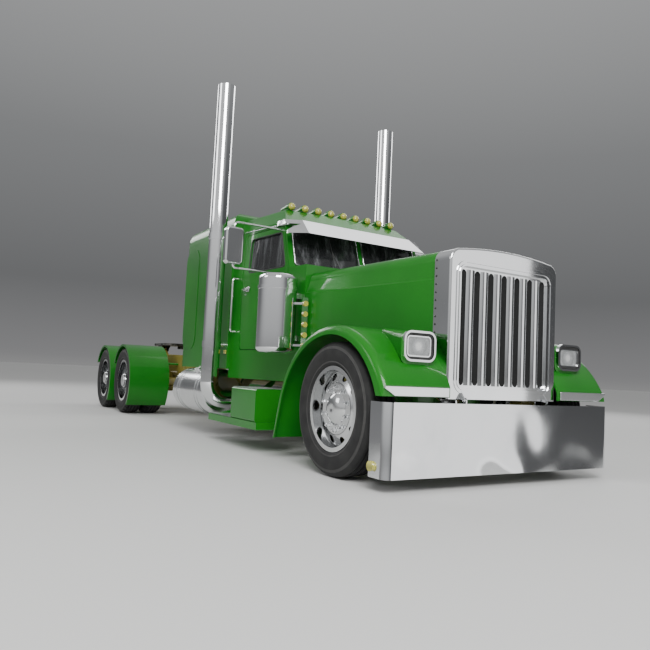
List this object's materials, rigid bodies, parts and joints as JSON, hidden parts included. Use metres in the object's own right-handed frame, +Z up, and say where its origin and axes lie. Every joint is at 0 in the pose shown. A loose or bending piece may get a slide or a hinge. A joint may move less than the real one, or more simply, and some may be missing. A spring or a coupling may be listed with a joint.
{
  "type": "semi truck tractor unit",
  "caption": "Long-nose tractor unit with sleeper cab, tall exhaust stacks, deep bumper, tilting hood, opening doors, steered front wheels and twin-wheel drive axles.",
  "frame": {"origin": "on the road, under the middle of the truck's length and width", "axes": "+X forward, +Y to the driver's left, +Z up"},
  "size_m": [9.224, 2.99, 4.1098],
  "materials": {
    "frame_paint": "satin",
    "chrome": "polished",
    "engine_paint": "satin",
    "radiator_core": "matte",
    "polished_aluminium": "polished",
    "tyre_rubber": "matte",
    "body_paint": "gloss",
    "tank_grey": "satin",
    "greased_steel": "satin",
    "red_lens": "gloss",
    "amber_lens": "gloss",
    "tinted_glass": "gloss",
    "lamp_glass": "gloss",
    "seat_vinyl": "satin",
    "trim_plastic": "matte",
    "bedding": "matte"
  },
  "bodies": {
    "truck": {"frame": "frame_paint", "crossmembers": "frame_paint", "bumper": "chrome", "engine_block": "engine_paint", "radiator": "radiator_core", "gearbox_and_shafts": "frame_paint", "front_axle": "frame_paint", "springs": "frame_paint", "drive_axles": "frame_paint", "fuel_tanks": "polished_aluminium", "step_boxes": "body_paint", "air_tanks": "tank_grey", "stacks": "chrome", "rear_fenders": "body_paint", "fifth_wheel_base": "frame_paint", "tail_lamps": "red_lens", "cab_body": "body_paint", "cab_roof": "body_paint", "windshield": "tinted_glass", "seats": "seat_vinyl", "dashboard": "trim_plastic", "air_cleaners": "chrome", "sun_visor": "chrome", "amber_lenses": "amber_lens", "sleeper_body": "body_paint", "sleeper_roof": "body_paint", "bunk": "bedding"},
    "hood": {"hood": "body_paint", "front_fenders": "body_paint", "grille_shell": "chrome", "grille_bars": "chrome", "headlamps": "chrome", "headlamp_lenses": "lamp_glass"},
    "door_right": {"door_right": "body_paint", "door_glass_right": "tinted_glass", "mirror_right": "chrome"},
    "door_left": {"door_left": "body_paint", "door_glass_left": "tinted_glass", "mirror_left": "chrome"},
    "steering_wheel": {"steering_wheel": "trim_plastic"},
    "knuckle_right": {"knuckle_right": "frame_paint"},
    "knuckle_left": {"knuckle_left": "frame_paint"},
    "tie_rod": {"tie_rod": "frame_paint"},
    "wheel_front_right": {"rim_front_right": "polished_aluminium", "tyre_front_right": "tyre_rubber"},
    "wheel_front_left": {"rim_front_left": "polished_aluminium", "tyre_front_left": "tyre_rubber"},
    "wheels_drive_front_right": {"rims_drive_front_right": "polished_aluminium", "tyres_drive_front_right": "tyre_rubber"},
    "wheels_drive_front_left": {"rims_drive_front_left": "polished_aluminium", "tyres_drive_front_left": "tyre_rubber"},
    "wheels_drive_rear_right": {"rims_drive_rear_right": "polished_aluminium", "tyres_drive_rear_right": "tyre_rubber"},
    "wheels_drive_rear_left": {"rims_drive_rear_left": "polished_aluminium", "tyres_drive_rear_left": "tyre_rubber"},
    "fifth_wheel": {"fifth_wheel": "greased_steel"}
  },
  "joints": [
    {"name": "hood_tilt", "type": "hinge", "parent": "truck", "child": "hood", "pos_m": [4.557, 0, 0.65], "axis": [0, 1, 0], "range_deg": [0, 65]},
    {"name": "door_right_swing", "type": "hinge", "parent": "truck", "child": "door_right", "pos_m": [2.424, -0.87268, 1.45], "axis": [0, 0, 1], "range_deg": [0, 70]},
    {"name": "door_left_swing", "type": "hinge", "parent": "truck", "child": "door_left", "pos_m": [2.424, 0.87268, 1.45], "axis": [0, 0, -1], "range_deg": [0, 70]},
    {"name": "steer_right", "type": "hinge", "parent": "truck", "child": "knuckle_right", "pos_m": [3.852, -0.87, 0.53], "axis": [0, 0, 1], "range_deg": [-35, 35]},
    {"name": "steer_left", "type": "hinge", "parent": "truck", "child": "knuckle_left", "pos_m": [3.852, 0.87, 0.53], "axis": [0, 0, 1], "range_deg": [-35, 35]},
    {"name": "tie_rod_pivot", "type": "hinge", "parent": "knuckle_right", "child": "tie_rod", "pos_m": [3.662, -0.87, 0.418], "axis": [0, 0, 1], "range_deg": [-35, 35]},
    {"name": "steering_wheel_turn", "type": "hinge", "parent": "truck", "child": "steering_wheel", "pos_m": [2.172, 0.44, 1.69], "axis": [-0.8, 0, 0.6], "range_deg": [-630, 630]},
    {"name": "fifth_wheel_pitch", "type": "hinge", "parent": "truck", "child": "fifth_wheel", "pos_m": [-3.168, 0, 1.095], "axis": [0, 1, 0], "range_deg": [-12, 12]},
    {"name": "wheel_front_right_spin", "type": "hinge", "parent": "knuckle_right", "child": "wheel_front_right", "pos_m": [3.852, -1.05, 0.53], "axis": [0, 1, 0], "continuous": true},
    {"name": "wheel_front_left_spin", "type": "hinge", "parent": "knuckle_left", "child": "wheel_front_left", "pos_m": [3.852, 1.05, 0.53], "axis": [0, 1, 0], "continuous": true},
    {"name": "wheels_drive_front_right_spin", "type": "hinge", "parent": "truck", "child": "wheels_drive_front_right", "pos_m": [-2.598, -0.915, 0.53], "axis": [0, 1, 0], "continuous": true},
    {"name": "wheels_drive_front_left_spin", "type": "hinge", "parent": "truck", "child": "wheels_drive_front_left", "pos_m": [-2.598, 0.915, 0.53], "axis": [0, 1, 0], "continuous": true},
    {"name": "wheels_drive_rear_right_spin", "type": "hinge", "parent": "truck", "child": "wheels_drive_rear_right", "pos_m": [-3.918, -0.915, 0.53], "axis": [0, 1, 0], "continuous": true},
    {"name": "wheels_drive_rear_left_spin", "type": "hinge", "parent": "truck", "child": "wheels_drive_rear_left", "pos_m": [-3.918, 0.915, 0.53], "axis": [0, 1, 0], "continuous": true}
  ],
  "couplings": [
    {"joint": "steer_left", "follows": "steer_right", "ratio": 1},
    {"joint": "tie_rod_pivot", "follows": "steer_right", "ratio": -1},
    {"joint": "steering_wheel_turn", "follows": "steer_right", "ratio": 18}
  ]
}
